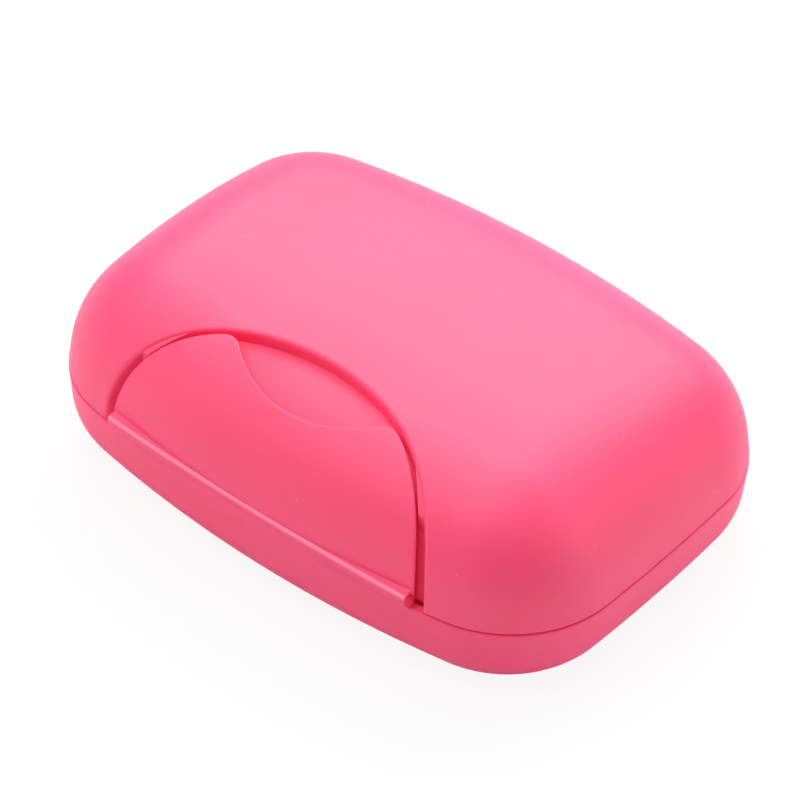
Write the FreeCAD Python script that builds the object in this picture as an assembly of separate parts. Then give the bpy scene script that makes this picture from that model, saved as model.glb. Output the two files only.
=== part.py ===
import FreeCAD, Part
import math
import os
from collections import namedtuple

from FreeCAD import Vector

# Travel soap box moulded in one piece of polypropylene: a base tray, a domed lid and a latch flap
# joined by two living hinges. Sizes are millimetres and degrees. The origin is under the middle of
# the base, +X runs along the box, the flap faces -Y and +Z is up.

# Plan outline where the lid meets the base: four bowed sides and four round corners
half_length = 55.0
half_width = 39.0
side_bow_r = 222.0
end_bow_r = 350.0
corner_r = 21.0

# Heights of the two shells
base_height = 15.0
lid_height = 22.5

# Lid dome
lid_draft = 8.5
shoulder_r = 20.0
crown_across_r = 150.0
crown_along_r = 700.0

# Base tray
base_draft = 4.0
foot_r = 10.5

# Walls and the line between the two shells
wall = 1.6
floor_thickness = 1.8
parting_gap = 0.16
lid_edge_r = 0.5
base_edge_r = 0.3

# Lip on the base that centres the lid, and the rebate it stands in
lip_thickness = 0.6
lip_height = 2.0
lip_clearance = 0.3

# Drain ribs on the base floor
rib_count = 6
rib_pitch = 8.0
rib_width = 2.0
rib_height = 2.0
rib_end_margin = 21.0

# Arched recess in the front of the lid, round in plan
recess_r = 42.7
recess_set_out = 22.9
recess_edge_r = 0.7

# Latch flap that fills the recess, with a scoop for the finger between two horns
flap_thickness = 1.6
flap_back_gap = 0.6
flap_top_gap = 0.4
flap_centre_shift = 2.8
flap_edge_r = 0.3
scoop_r = 24.0
scoop_set_in = 9.4
horn_r = 3.5

# Catch lugs on the recess wall, beside the horns
lug_clearance = 0.35
lug_start_angle = 34.0
lug_end_angle = 45.5
lug_drop = 0.35

# Front living hinge, on a bead that is less bowed than the front wall
front_hinge_rise = 2.5
front_hinge_bow_r = 600.0
front_hinge_end_margin = 2.2
bead_proud = 0.15
bead_face = 0.8
bead_slope = 50.0
ledge_face = 0.35
ledge_slope = 12.0
bead_edge_r = 0.25

# Rear living hinge
rear_hinge_half_length = 26.0

# Thin webs of both hinges
web_thickness = 0.5
web_height = 0.6

parting_z = base_height
lid_top_z = base_height + lid_height
lid_rim_z = parting_z + parting_gap / 2
base_rim_z = parting_z - parting_gap / 2
lid_slope = math.tan(math.radians(lid_draft))
base_slope = math.tan(math.radians(base_draft))
recess_centre_y = -half_width - recess_set_out
recess_depth = flap_thickness + flap_back_gap
flap_centre_y = recess_centre_y + flap_centre_shift
flap_r = recess_r - flap_top_gap - flap_centre_shift
scoop_centre_y = -half_width + scoop_set_in + scoop_r
front_hinge_z = parting_z + front_hinge_rise
front_hinge_y = -half_width + front_hinge_rise * lid_slope - bead_proud
flap_half_width = math.sqrt(flap_r ** 2 - (front_hinge_y - flap_centre_y) ** 2)
front_hinge_half_length = flap_half_width - front_hinge_end_margin
rear_hinge_y = half_width
reach = 3 * half_length
overrun = 2.0
tiny = 0.01

Hinge = namedtuple("Hinge", "half_length y z inward bow_r")
front_hinge = Hinge(front_hinge_half_length, front_hinge_y, front_hinge_z, 1, front_hinge_bow_r)
rear_hinge = Hinge(rear_hinge_half_length, rear_hinge_y, parting_z, -1, None)


def corner_centre():
    """Centre of the corner arc that touches a long side and an end from inside."""
    side = Vector(0, half_width - side_bow_r, 0)
    end = Vector(half_length - end_bow_r, 0, 0)
    from_side = side_bow_r - corner_r
    from_end = end_bow_r - corner_r
    span = (end - side).Length
    along = (from_side ** 2 - from_end ** 2 + span ** 2) / (2 * span)
    across = math.sqrt(from_side ** 2 - along ** 2)
    unit = (end - side) / span
    return side + unit * along + Vector(unit.y, -unit.x, 0) * across


def outline(inset, z):
    """The plan outline at height z, moved inwards by inset."""
    centre = corner_centre()
    end_angle = math.atan2(centre.y, centre.x - half_length + end_bow_r)
    side_angle = math.atan2(centre.y - half_width + side_bow_r, centre.x)

    def corner_point(angle):
        radius = corner_r - inset
        return Vector(centre.x + radius * math.cos(angle), centre.y + radius * math.sin(angle), z)

    def flip(point, x, y):
        return Vector(x * point.x, y * point.y, point.z)

    at_end = corner_point(end_angle)
    middle = corner_point((end_angle + side_angle) / 2)
    at_side = corner_point(side_angle)
    end_tip = Vector(half_length - inset, 0, z)
    side_tip = Vector(0, half_width - inset, z)
    arcs = [
        (flip(at_end, 1, -1), end_tip, at_end),
        (at_end, middle, at_side),
        (at_side, side_tip, flip(at_side, -1, 1)),
        (flip(at_side, -1, 1), flip(middle, -1, 1), flip(at_end, -1, 1)),
        (flip(at_end, -1, 1), flip(end_tip, -1, 1), flip(at_end, -1, -1)),
        (flip(at_end, -1, -1), flip(middle, -1, -1), flip(at_side, -1, -1)),
        (flip(at_side, -1, -1), flip(side_tip, 1, -1), flip(at_side, 1, -1)),
        (flip(at_side, 1, -1), flip(middle, 1, -1), flip(at_end, 1, -1)),
    ]
    return Part.Wire([Part.Arc(*points).toShape() for points in arcs])


def turned(profile):
    """A solid on the plan outline whose wall has the given profile.

    The profile is a list of runs of (inset, z) points, two for a straight run and three for an arc.
    """
    faces = [Part.Face(outline(*profile[0][0])), Part.Face(outline(*profile[-1][-1]))]
    for run in profile:
        rings = [outline(inset, z).Edges for inset, z in run]
        for arcs in zip(*rings):
            points = [arc.valueAt(arc.FirstParameter) for arc in arcs]
            rule = Part.makeLine(*points) if len(points) == 2 else Part.Arc(*points).toShape()
            turn = math.degrees(arcs[0].LastParameter - arcs[0].FirstParameter)
            faces.append(rule.revolve(arcs[0].Curve.Center, Vector(0, 0, 1), turn))
    shell = Part.makeShell(faces)
    shell.sewShape()
    return Part.makeSolid(shell)


def rounded(before, corner, after, radius):
    """The arc, as three points, that rounds a corner of a profile."""
    corner = Vector(*corner)
    towards = (Vector(*before) - corner).normalize()
    away = (Vector(*after) - corner).normalize()
    half_angle = towards.getAngle(away) / 2
    tangent = radius / math.tan(half_angle)
    middle = corner + (towards + away).normalize() * (radius / math.sin(half_angle) - radius)
    points = [corner + towards * tangent, middle, corner + away * tangent]
    return [(point.x, point.y) for point in points]


def drafted(inset, z_low, z_high, slope):
    """A solid on the plan outline whose straight walls close in by slope on the way up."""
    low = (inset + (z_low - parting_z) * slope, z_low)
    high = (inset + (z_high - parting_z) * slope, z_high)
    return turned([[low, high]])


def crown(inset):
    """Everything under the double-curved top of the lid."""
    along_axis = Vector(0, 0, lid_top_z - crown_along_r)
    across_axis_z = lid_top_z - crown_across_r
    across_r = crown_across_r - inset
    edge_y = half_width + 2 * overrun
    edge_z = across_axis_z + math.sqrt(across_r ** 2 - edge_y ** 2)
    arch = Part.Arc(
        Vector(0, -edge_y, edge_z), Vector(0, 0, across_axis_z + across_r), Vector(0, edge_y, edge_z)
    ).toShape()
    under = Part.makePolygon([
        Vector(0, edge_y, edge_z),
        Vector(0, edge_y, -half_width),
        Vector(0, -edge_y, -half_width),
        Vector(0, -edge_y, edge_z),
    ])
    profile = Part.Face(Part.Wire([arch] + under.Edges))
    turn = math.degrees(reach / 2 / crown_along_r)
    profile.rotate(along_axis, Vector(0, 1, 0), -turn)
    return profile.revolve(along_axis, Vector(0, 1, 0), 2 * turn)


def lid_form(inset):
    """The lid's outer form, moved inwards by inset and open below the parting plane."""
    body = drafted(inset, parting_z - overrun, lid_top_z + overrun, lid_slope).common(crown(inset))
    shoulder = [edge for edge in body.Edges if edge.BoundBox.ZMin > parting_z]
    shoulder = [edge for edge in shoulder if edge.BoundBox.ZLength < edge.Length / 2]
    return body.makeFillet(shoulder_r - inset, shoulder)


def base_form(inset, z_low, z_high):
    """The tray's form, moved inwards by inset, with its round foot and a sharp rim."""
    low = (inset + (parting_z - z_low) * base_slope, z_low)
    high = (inset + (parting_z - z_high) * base_slope, z_high)
    foot = rounded((low[0] + foot_r, z_low), low, high, foot_r - inset)
    return turned([foot, [foot[-1], high]])


def rim_form(z_end, z_rim, slope, radius):
    """A drafted wall from z_end to a rim at z_rim, where its edge is rounded."""
    end = ((z_end - parting_z) * slope, z_end)
    corner = ((z_rim - parting_z) * slope, z_rim)
    rim = rounded(end, corner, (corner[0] + wall, z_rim), radius)
    return turned([[end, rim[0]], rim])


def upper_wall_edges(shape, inner):
    """The edges at the top of the upright round walls of shape, away from the inner form."""
    walls = [face for face in shape.Faces if isinstance(face.Surface, Part.Cylinder)]
    edges = [edge for face in walls for edge in face.Edges]
    return [edge for edge in edges if edge.distToShape(inner)[0] > flap_thickness / 2]


def upright(radius, centre_y):
    """A round column through the whole box, upright at the given place on the Y axis."""
    return Part.makeCylinder(radius, 2 * reach, Vector(0, centre_y, -reach))


def above(z):
    """Everything higher than z."""
    return Part.makeBox(2 * reach, 2 * reach, reach, Vector(-reach, -reach, z))


def front_y(x):
    """Where the front of the plan outline lies at a distance x from the middle."""
    corner = corner_centre()
    if x < corner.x * side_bow_r / (side_bow_r - corner_r):
        return side_bow_r - half_width - math.sqrt(side_bow_r ** 2 - x ** 2)
    return -corner.y - math.sqrt(corner_r ** 2 - (x - corner.x) ** 2)


def bar(hinge, points):
    """A bar along a hinge with the given (y, z) profile, bowed as the hinge is."""
    corners = [Vector(0, y, z) for y, z in points]
    face = Part.Face(Part.makePolygon(corners + corners[:1]))
    if hinge.bow_r is None:
        face.translate(Vector(-hinge.half_length, 0, 0))
        return face.extrude(Vector(2 * hinge.half_length, 0, 0))
    bow_axis = Vector(0, hinge.y + hinge.inward * hinge.bow_r, 0)
    turn = math.degrees(math.asin(hinge.half_length / hinge.bow_r))
    face.rotate(bow_axis, Vector(0, 0, 1), -turn)
    return face.revolve(bow_axis, Vector(0, 0, 1), 2 * turn)


def front_band(z_low, z_high):
    """The front half of the box between two heights, as long as the front hinge."""
    return bar(front_hinge, [(-reach, z_low), (-reach, z_high), (0, z_high), (0, z_low)])


def hinge_land(hinge, up, face, slope):
    """The land beside a hinge web: a low face that slopes back into the bowed wall."""
    depth = front_y(hinge.half_length) + half_width + wall
    back_y = hinge.y + hinge.inward * depth
    root = hinge.z + up * web_height / 2
    crest = root + up * face
    tail = crest + up * depth * math.tan(math.radians(slope))
    land = bar(hinge, [(hinge.y, root), (hinge.y, crest), (back_y, tail), (back_y, root)])
    crest_edges = [edge for edge in land.Edges if abs(edge.BoundBox.ZMin - crest) < tiny]
    crest_edges = [edge for edge in crest_edges if abs(edge.BoundBox.ZMax - crest) < tiny]
    return land.makeFillet(bead_edge_r, crest_edges)


def web(hinge):
    """The thin strip that bends when the hinge opens."""
    low = hinge.z - web_height / 2
    high = hinge.z + web_height / 2
    back_y = hinge.y + hinge.inward * web_thickness
    return bar(hinge, [(hinge.y, low), (hinge.y, high), (back_y, high), (back_y, low)])


def lug(side):
    """A wedge on the recess wall that reaches towards the flap's edge."""
    def at(angle, radius, centre_y):
        turn = math.radians(angle)
        return Vector(side * radius * math.sin(turn), centre_y + radius * math.cos(turn), parting_z)

    root_r = recess_r + wall / 2
    plan = [
        at(lug_start_angle, recess_r, recess_centre_y),
        at(lug_end_angle, flap_r + lug_clearance, flap_centre_y),
        at(lug_end_angle, root_r, recess_centre_y),
        at(lug_start_angle, root_r, recess_centre_y),
    ]
    column = Part.Face(Part.makePolygon(plan + plan[:1])).extrude(Vector(0, 0, lid_top_z))
    return column.common(lid_form(lug_drop)).cut(lid_form(recess_depth + wall / 2))


def lid_shell():
    """The domed lid, hollow, with the recess for the flap pressed into its front."""
    recess_floor = lid_form(recess_depth)
    shell = lid_form(0).cut(upright(recess_r, recess_centre_y).cut(recess_floor))
    shell = shell.makeFillet(recess_edge_r, upper_wall_edges(shell, recess_floor))
    shell = shell.common(rim_form(lid_top_z + overrun, lid_rim_z, lid_slope, lid_edge_r))

    recess_back = upright(recess_r + wall, recess_centre_y)
    hollow = lid_form(wall).cut(recess_back).fuse(lid_form(recess_depth + wall))
    rebate_top = parting_z + lip_height + lip_clearance
    rebate = drafted(wall - lip_thickness - lip_clearance, parting_z - overrun, rebate_top, lid_slope)
    land = hinge_land(rear_hinge, 1, bead_face, bead_slope).cut(lid_form(wall))
    shell = shell.cut(hollow).fuse([lug(1), lug(-1), land])
    return shell.cut([rebate.cut(recess_back), web(rear_hinge)]).removeSplitter()


def latch_flap():
    """The flap, a piece of the dome's own skin with a scooped top edge."""
    back = lid_form(flap_thickness)
    outside = upright(flap_r, flap_centre_y)
    plan = outside.cut(upright(scoop_r, scoop_centre_y))
    uprights = [edge for edge in plan.Edges if edge.BoundBox.ZLength > reach]
    horns = [edge for edge in uprights if edge.BoundBox.Center.y > -half_width]
    plan = plan.makeFillet(horn_r, horns)
    flap = lid_form(0).cut(back).common(plan).common(above(front_hinge_z + web_height / 2))
    flap = flap.makeFillet(flap_edge_r, upper_wall_edges(flap, back))
    ledge = hinge_land(front_hinge, 1, ledge_face, ledge_slope)
    return flap.fuse(ledge.cut(back).common(outside)).removeSplitter()


def drain_ribs():
    """Straight ribs that hold the soap clear of the wet floor."""
    length = 2 * (half_length - rib_end_margin)
    foot = floor_thickness / 2
    ribs = []
    for index in range(rib_count):
        y = (index - (rib_count - 1) / 2) * rib_pitch
        corner = Vector(-length / 2, y - rib_width / 2, foot)
        ribs.append(Part.makeBox(length, rib_width, rib_height + floor_thickness - foot, corner))
    return ribs


def locating_lip():
    """The thin lip inside the rim, left out where the recess comes down."""
    low = parting_z - overrun
    lip = drafted(wall - lip_thickness, low, parting_z + lip_height, lid_slope)
    lip = lip.cut(drafted(wall, low - overrun, lid_top_z, lid_slope))
    return lip.cut(upright(recess_r + wall + lip_clearance, recess_centre_y))


def hinge_tongue(inside):
    """The front wall raised through the recess to carry the flap's hinge on its bead."""
    back = lid_form(flap_thickness)
    tongue = lid_form(0).cut(back).common(front_band(parting_z, front_hinge_z - web_height / 2))
    rim = base_form(0, 0, parting_z).cut(inside).common(front_band(parting_z - overrun, parting_z))
    bead = hinge_land(front_hinge, -1, bead_face, bead_slope)
    return tongue.fuse([rim, bead.cut([back, inside])]).common(upright(flap_r, flap_centre_y))


def base_shell():
    """The tray with its ribs, lip and the lands of both hinges."""
    inside = base_form(wall, floor_thickness, parting_z)
    tray = base_form(0, 0, parting_z).common(rim_form(0, base_rim_z, -base_slope, base_edge_r))
    rear_land = hinge_land(rear_hinge, -1, bead_face, bead_slope).cut(inside)
    tray = tray.cut(inside).fuse(drain_ribs() + [locating_lip(), hinge_tongue(inside), rear_land])
    return tray.cut(web(rear_hinge)).removeSplitter()


def export(name, shape):
    shape.exportStep("parts/" + name + ".step")


os.makedirs("parts", exist_ok=True)
export("base_shell", base_shell())
export("lid_shell", lid_shell())
export("latch_flap", latch_flap())
export("front_hinge_web", web(front_hinge))
export("rear_hinge_web", web(rear_hinge))
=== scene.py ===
import math

import bpy
from mathutils import Matrix, Vector


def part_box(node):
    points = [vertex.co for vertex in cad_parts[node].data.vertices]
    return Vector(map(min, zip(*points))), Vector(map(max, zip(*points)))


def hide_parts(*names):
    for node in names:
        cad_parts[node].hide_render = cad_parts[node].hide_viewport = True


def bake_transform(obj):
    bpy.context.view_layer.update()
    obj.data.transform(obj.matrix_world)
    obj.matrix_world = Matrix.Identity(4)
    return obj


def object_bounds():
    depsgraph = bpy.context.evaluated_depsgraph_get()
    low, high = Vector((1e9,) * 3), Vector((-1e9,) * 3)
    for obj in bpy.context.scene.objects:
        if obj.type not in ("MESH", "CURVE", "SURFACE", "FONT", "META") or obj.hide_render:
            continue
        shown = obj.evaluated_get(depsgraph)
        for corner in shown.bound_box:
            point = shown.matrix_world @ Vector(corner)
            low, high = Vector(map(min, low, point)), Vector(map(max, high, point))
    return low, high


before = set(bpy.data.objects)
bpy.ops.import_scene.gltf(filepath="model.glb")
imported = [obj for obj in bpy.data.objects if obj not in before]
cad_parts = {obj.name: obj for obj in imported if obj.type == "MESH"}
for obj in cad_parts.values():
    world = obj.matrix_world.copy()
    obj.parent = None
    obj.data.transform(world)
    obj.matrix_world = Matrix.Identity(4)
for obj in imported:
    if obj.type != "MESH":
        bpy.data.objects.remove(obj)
cad_low, cad_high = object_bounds()

# Lengths are metres and angles are degrees, in the part's frame: +X along the box, -Y out of the front.
MM = 0.001

# Camera of the photograph
CAMERA_TARGET = Vector((0, 0, 20.3)) * MM
CAMERA_AZIMUTH = 38.83
CAMERA_ELEVATION = 41.07
CAMERA_ROLL = 1.88
CAMERA_DISTANCE = 578.8 * MM
CAMERA_LENS = 157.8
CAMERA_SENSOR = 36.0
CAMERA_SHIFT_X = -0.0075
CAMERA_SHIFT_Y = -0.0276
CAMERA_NEAR = 10 * MM

# Living hinge strips
FRONT_BOW_RADIUS = 600 * MM
FRONT_STRIP_DEPTH = 0.9 * MM
FRONT_STRIP_HEIGHT = 1.5 * MM
FRONT_STRIP_PROUD = 0.15 * MM
REAR_STRIP_OVERLAP = 0.25 * MM
STRIP_SIDES = 24
STRIP_STEPS = 48
STRIP_SMOOTH_ANGLE = 40.0

# Pink polypropylene, colours in linear light
PINK = (0.965, 0.074, 0.200, 1.0)
PINK_DEEP = (0.96, 0.068, 0.186, 1.0)
PINK_PALE = (0.97, 0.080, 0.214, 1.0)
SCATTER_WEIGHT = 0.8
SCATTER_DEPTH = 1.0 * MM
SCATTER_RATIOS = (1.0, 0.25, 0.3)
# Painted glow: a faint red emission on the plastic that stands in for light passing through its thin
# walls
PAINTED_GLOW_COLOUR = (1.0, 0.0, 0.02, 1.0)
PAINTED_GLOW_STRENGTH = 0.04
ROUGHNESS = 0.43
ROUGHNESS_SPREAD = 0.12
PLASTIC_IOR = 1.5

# Painted highlight: a lighter band along the crest of the front hinge strip, where light falls on its top
# edge
PAINTED_HIGHLIGHT_COLOUR = (0.95, 0.30, 0.44, 1.0)
PAINTED_HIGHLIGHT_LOW = 17.6 * MM
PAINTED_HIGHLIGHT_HIGH = 18.0 * MM
PAINTED_HIGHLIGHT_STRENGTH = 0.65

# Flow marks: where the deep, plain and pale pinks stand on the noise that mixes them
FLOW_SCALE = 22.0
FLOW_DETAIL = 3.0
FLOW_STOPS = [(0.3, PINK_DEEP), (0.5, PINK), (0.7, PINK_PALE)]

# Fine relief of the mould: a spark-eroded grain on long shallow waves
GRAIN_SCALE = 2600.0
GRAIN_DETAIL = 2.0
WAVE_SCALE = 45.0
WAVE_DETAIL = 1.0
WAVE_HEIGHT = 17.0
BUMP_STRENGTH = 0.25
BUMP_DEPTH = 0.007 * MM

# Pale specks in the plastic
SPECK_COLOUR = (0.95, 0.4, 0.5, 1.0)
SPECK_CELLS = 260.0
SPECK_SIZE = 0.05
SPECK_PATCHES = 75.0
SPECK_PATCH_DETAIL = 0.0
SPECK_RARITY = 0.62
SPECK_STRENGTH = 0.3

# Studio
FLOOR_SIZE = 6.0
FLOOR_WHITE = (0.78, 0.78, 0.78, 1.0)
FLOOR_GLOW = 0.9
PURE_WHITE = (1.0, 1.0, 1.0, 1.0)
WORLD_LIGHT = 0.2
SOFTBOXES = {
    "back_softbox": {"place": (-0.22, 0.64, 0.68), "width": 1.3, "height": 0.7, "power": 12.6},
    "top_softbox": {"place": (-0.28, -0.22, 0.95), "width": 0.9, "height": 0.9, "power": 7.4},
    "front_softbox": {"place": (-0.60, -0.70, 0.25), "width": 0.8, "height": 0.8, "power": 2.0},
    "right_softbox": {"place": (0.80, 0.25, 0.35), "width": 0.6, "height": 0.6, "power": 1.9},
}

# Socket numbers of a Mix node that mixes colours
MIX_SHARE = 0
MIX_FIRST = 6
MIX_SECOND = 7
MIX_RESULT = 2


class Wire:
    """A shader output that can stand in sums, products and comparisons with numbers and other outputs."""

    def __init__(self, shader, socket):
        self.shader = shader
        self.socket = socket

    def maths(self, operation, first, second):
        return self.shader.node("ShaderNodeMath", {"operation": operation}, {0: first, 1: second})

    def __add__(self, other):
        return self.maths("ADD", self, other)

    def __radd__(self, other):
        return self.maths("ADD", other, self)

    def __mul__(self, other):
        return self.maths("MULTIPLY", self, other)

    def __rmul__(self, other):
        return self.maths("MULTIPLY", other, self)

    def __gt__(self, other):
        return self.maths("GREATER_THAN", self, other)

    def __lt__(self, other):
        return self.maths("LESS_THAN", self, other)


class Shader:
    """A node tree that is filled one node at a time."""

    def __init__(self, owner):
        owner.use_nodes = True
        self.tree = owner.node_tree
        self.tree.nodes.clear()

    def node(self, kind, settings, sockets, output=0):
        """Adds a node, sets it up and links or fills its sockets. Gives one of its outputs."""
        made = self.tree.nodes.new(kind)
        for name, value in settings.items():
            if name == "stops":
                self.set_stops(made.color_ramp, value)
            else:
                setattr(made, name, value)
        for name, value in sockets.items():
            if isinstance(value, Wire):
                self.tree.links.new(value.socket, made.inputs[name])
            else:
                made.inputs[name].default_value = value
        return Wire(self, made.outputs[output]) if made.outputs else None

    @staticmethod
    def set_stops(ramp, stops):
        while len(ramp.elements) < len(stops):
            ramp.elements.new(1.0)
        for element, (position, colour) in zip(ramp.elements, stops):
            element.position = position
            element.color = colour


def pink_polypropylene(name, scatter_weight, highlight_strength):
    """Satin moulded polypropylene: faint flow marks, a spark-eroded grain, a few pale specks and a faint
    painted red glow; with a highlight strength, also a painted highlight along a crest.
    """
    material = bpy.data.materials.new(name)
    shader = Shader(material)
    place = shader.node("ShaderNodeTexCoord", {}, {}, "Object")

    def noise(scale, detail):
        sockets = {"Vector": place, "Scale": scale, "Detail": detail}
        return shader.node("ShaderNodeTexNoise", {}, sockets, "Fac")

    def mixed(share, first, second):
        sockets = {MIX_SHARE: share, MIX_FIRST: first, MIX_SECOND: second}
        return shader.node("ShaderNodeMix", {"data_type": "RGBA"}, sockets, MIX_RESULT)

    flow = noise(FLOW_SCALE, FLOW_DETAIL)
    tint = shader.node("ShaderNodeValToRGB", {"stops": FLOW_STOPS}, {"Fac": flow}, "Color")
    cells = shader.node(
        "ShaderNodeTexVoronoi", {"feature": "F1"}, {"Vector": place, "Scale": SPECK_CELLS}, "Distance"
    )
    specks = (cells < SPECK_SIZE) * (noise(SPECK_PATCHES, SPECK_PATCH_DETAIL) > SPECK_RARITY)
    colour = mixed(specks * SPECK_STRENGTH, tint, SPECK_COLOUR)
    # Painted highlight: the strip's colour turns lighter in a height band at its crest
    if highlight_strength:
        height = shader.node("ShaderNodeSeparateXYZ", {}, {"Vector": place}, "Z")
        painted_highlight = shader.node(
            "ShaderNodeMapRange",
            {"interpolation_type": "SMOOTHSTEP"},
            {"Value": height, "From Min": PAINTED_HIGHLIGHT_LOW, "From Max": PAINTED_HIGHLIGHT_HIGH, "To Max": highlight_strength},
            "Result",
        )
        colour = mixed(painted_highlight, colour, PAINTED_HIGHLIGHT_COLOUR)
    grain = noise(GRAIN_SCALE, GRAIN_DETAIL)
    waves = noise(WAVE_SCALE, WAVE_DETAIL)
    bump = shader.node(
        "ShaderNodeBump",
        {},
        {"Strength": BUMP_STRENGTH, "Distance": BUMP_DEPTH, "Height": grain + waves * WAVE_HEIGHT},
        "Normal",
    )
    surface = shader.node(
        "ShaderNodeBsdfPrincipled",
        {},
        {
            "Base Color": colour,
            "Roughness": ROUGHNESS + ROUGHNESS_SPREAD * grain,
            "IOR": PLASTIC_IOR,
            # Painted glow: faint red emission that stands in for light through the walls
            "Emission Color": PAINTED_GLOW_COLOUR,
            "Emission Strength": PAINTED_GLOW_STRENGTH,
            "Subsurface Weight": scatter_weight,
            "Subsurface Radius": SCATTER_RATIOS,
            "Subsurface Scale": SCATTER_DEPTH,
            "Normal": bump,
        },
        "BSDF",
    )
    shader.node("ShaderNodeOutputMaterial", {}, {"Surface": surface})
    return material


def floor_white():
    """Pale floor that reads as white to the camera and still takes a faint shadow of the box."""
    material = bpy.data.materials.new("floor_white")
    shader = Shader(material)
    matte = shader.node("ShaderNodeBsdfDiffuse", {}, {"Color": FLOOR_WHITE}, "BSDF")
    glow = shader.node("ShaderNodeEmission", {}, {"Color": PURE_WHITE}, "Emission")
    seen = shader.node("ShaderNodeLightPath", {}, {}, "Is Camera Ray")
    mixed = shader.node("ShaderNodeMixShader", {}, {0: seen * FLOOR_GLOW, 1: matte, 2: glow}, "Shader")
    shader.node("ShaderNodeOutputMaterial", {}, {"Surface": mixed})
    return material


def start_piece():
    """Leaves nothing selected, so that the next operators act on the new piece alone."""
    if bpy.context.mode != "OBJECT":
        bpy.ops.object.mode_set(mode="OBJECT")
    bpy.ops.object.select_all(action="DESELECT")


def finish_piece(name, material):
    """Turns the modelled piece's faces outwards, smooths it, names it and gives it its finish."""
    bpy.ops.mesh.select_all(action="SELECT")
    bpy.ops.mesh.normals_make_consistent(inside=False)
    bpy.ops.object.mode_set(mode="OBJECT")
    bpy.ops.object.transform_apply(location=True, rotation=True, scale=True)
    bpy.ops.object.shade_smooth_by_angle(angle=math.radians(STRIP_SMOOTH_ANGLE))
    piece = bpy.context.object
    piece.name = name
    piece.data.name = name
    piece.data.materials.clear()
    piece.data.materials.append(material)
    return piece


def hinge_section(middle, depth, height):
    """Starts a strip as an oval section across X, left in edit mode with all of it selected."""
    start_piece()
    # The circle is 1 wide, so that its scale is its size.
    unit_radius = 1 / 2
    quarter_turn = math.pi / 2
    bpy.ops.mesh.primitive_circle_add(
        vertices=STRIP_SIDES,
        radius=unit_radius,
        fill_type="NGON",
        location=middle,
        rotation=(0, quarter_turn, 0),
    )
    bpy.context.object.scale = (height, depth, 1)
    bpy.ops.object.transform_apply(location=True, rotation=True, scale=True)
    bpy.ops.object.mode_set(mode="EDIT")
    bpy.ops.mesh.select_all(action="SELECT")


def front_hinge_strip(material):
    """The bent strip between the base's bead and the flap, bowed like the front of the box."""
    low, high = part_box("front_hinge_web")
    middle = (low + high) / 2
    half_turn = math.asin(high.x / FRONT_BOW_RADIUS)
    section_y = low.y - FRONT_STRIP_PROUD + FRONT_STRIP_DEPTH / 2
    hinge_section((0, section_y, middle.z), FRONT_STRIP_DEPTH, FRONT_STRIP_HEIGHT)
    # The section goes to one end of the strip and is spun across to the other.
    centre = Vector((0, low.y + FRONT_BOW_RADIUS, 0))
    bpy.ops.transform.rotate(value=-half_turn, orient_axis="Z", center_override=centre)
    bpy.ops.mesh.spin(
        steps=STRIP_STEPS, angle=2 * half_turn, center=centre, axis=(0, 0, 1), dupli=False
    )
    strip = finish_piece("front_hinge_strip", material)
    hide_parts("front_hinge_web")
    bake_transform(strip)


def rear_hinge_strip(material):
    """The bent strip between the base and the lid."""
    low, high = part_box("rear_hinge_web")
    middle = (low + high) / 2
    hinge_section((low.x, middle.y, middle.z), high.y - low.y, high.z - low.z + 2 * REAR_STRIP_OVERLAP)
    bpy.ops.mesh.extrude_region_move(TRANSFORM_OT_translate={"value": (high.x - low.x, 0, 0)})
    strip = finish_piece("rear_hinge_strip", material)
    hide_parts("rear_hinge_web")
    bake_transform(strip)


def dress_shells(material):
    """Gives the three moulded shells their finish."""
    for name in ("base_shell", "lid_shell", "latch_flap"):
        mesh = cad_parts[name].data
        mesh.materials.clear()
        mesh.materials.append(material)


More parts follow.
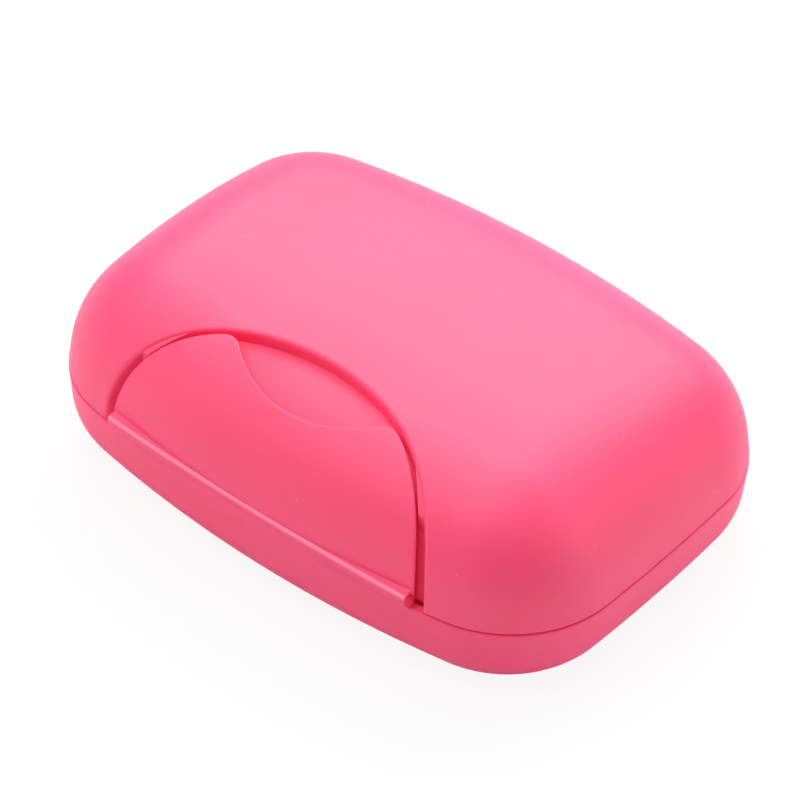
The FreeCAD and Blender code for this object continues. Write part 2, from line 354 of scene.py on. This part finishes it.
def camera():
    """The camera at the photograph's place."""
    azimuth = math.radians(CAMERA_AZIMUTH)
    elevation = math.radians(CAMERA_ELEVATION)
    roll = math.radians(CAMERA_ROLL)
    level = math.cos(elevation)
    back = Vector((math.sin(azimuth) * level, -math.cos(azimuth) * level, math.sin(elevation)))
    right = Vector((math.cos(azimuth), math.sin(azimuth), 0))
    up = back.cross(right)
    turned_right = right * math.cos(roll) + up * math.sin(roll)
    turned_up = up * math.cos(roll) - right * math.sin(roll)
    data = bpy.data.cameras.new("camera")
    data.lens = CAMERA_LENS
    data.sensor_width = CAMERA_SENSOR
    data.shift_x = CAMERA_SHIFT_X
    data.shift_y = CAMERA_SHIFT_Y
    data.clip_start = CAMERA_NEAR
    made = bpy.data.objects.new("camera", data)
    bpy.context.scene.collection.objects.link(made)
    turn = Matrix((turned_right, turned_up, back)).transposed().to_4x4()
    made.matrix_world = Matrix.Translation(CAMERA_TARGET + back * CAMERA_DISTANCE) @ turn
    bpy.context.scene.camera = made


def softbox(name, place, width, height, power):
    """A white softbox that looks at the box."""
    data = bpy.data.lights.new(name, "AREA")
    data.shape = "RECTANGLE"
    data.size = width
    data.size_y = height
    data.energy = power
    lamp = bpy.data.objects.new(name, data)
    bpy.context.scene.collection.objects.link(lamp)
    lamp.location = place
    lamp.rotation_mode = "QUATERNION"
    lamp.rotation_quaternion = (CAMERA_TARGET - Vector(place)).to_track_quat("-Z", "Y")


def studio():
    """Pale floor, even surrounding light and the softboxes."""
    start_piece()
    bpy.ops.mesh.primitive_plane_add(size=FLOOR_SIZE, location=(0, 0, cad_low.z))
    floor = bpy.context.object
    floor.name = "floor"
    bpy.ops.object.transform_apply(location=True, rotation=True, scale=True)
    floor.data.materials.append(floor_white())
    for name, lamp in SOFTBOXES.items():
        softbox(name, **lamp)

    world = bpy.data.worlds.new("studio")
    bpy.context.scene.world = world
    shader = Shader(world)
    path = shader.node("ShaderNodeLightPath", {}, {}, "Is Camera Ray")
    surround = shader.node(
        "ShaderNodeBackground",
        {},
        {"Color": PURE_WHITE, "Strength": WORLD_LIGHT + path * (1 - WORLD_LIGHT)},
        "Background",
    )
    shader.node("ShaderNodeOutputWorld", {}, {"Surface": surround})


shell_pink = pink_polypropylene("pink_polypropylene", SCATTER_WEIGHT, 0.0)
strip_pink = pink_polypropylene("pink_polypropylene_thin", 0.0, PAINTED_HIGHLIGHT_STRENGTH)
dress_shells(shell_pink)
front_hinge_strip(strip_pink)
rear_hinge_strip(strip_pink)
studio()
camera()

bpy.context.scene.view_settings.view_transform = "Standard"
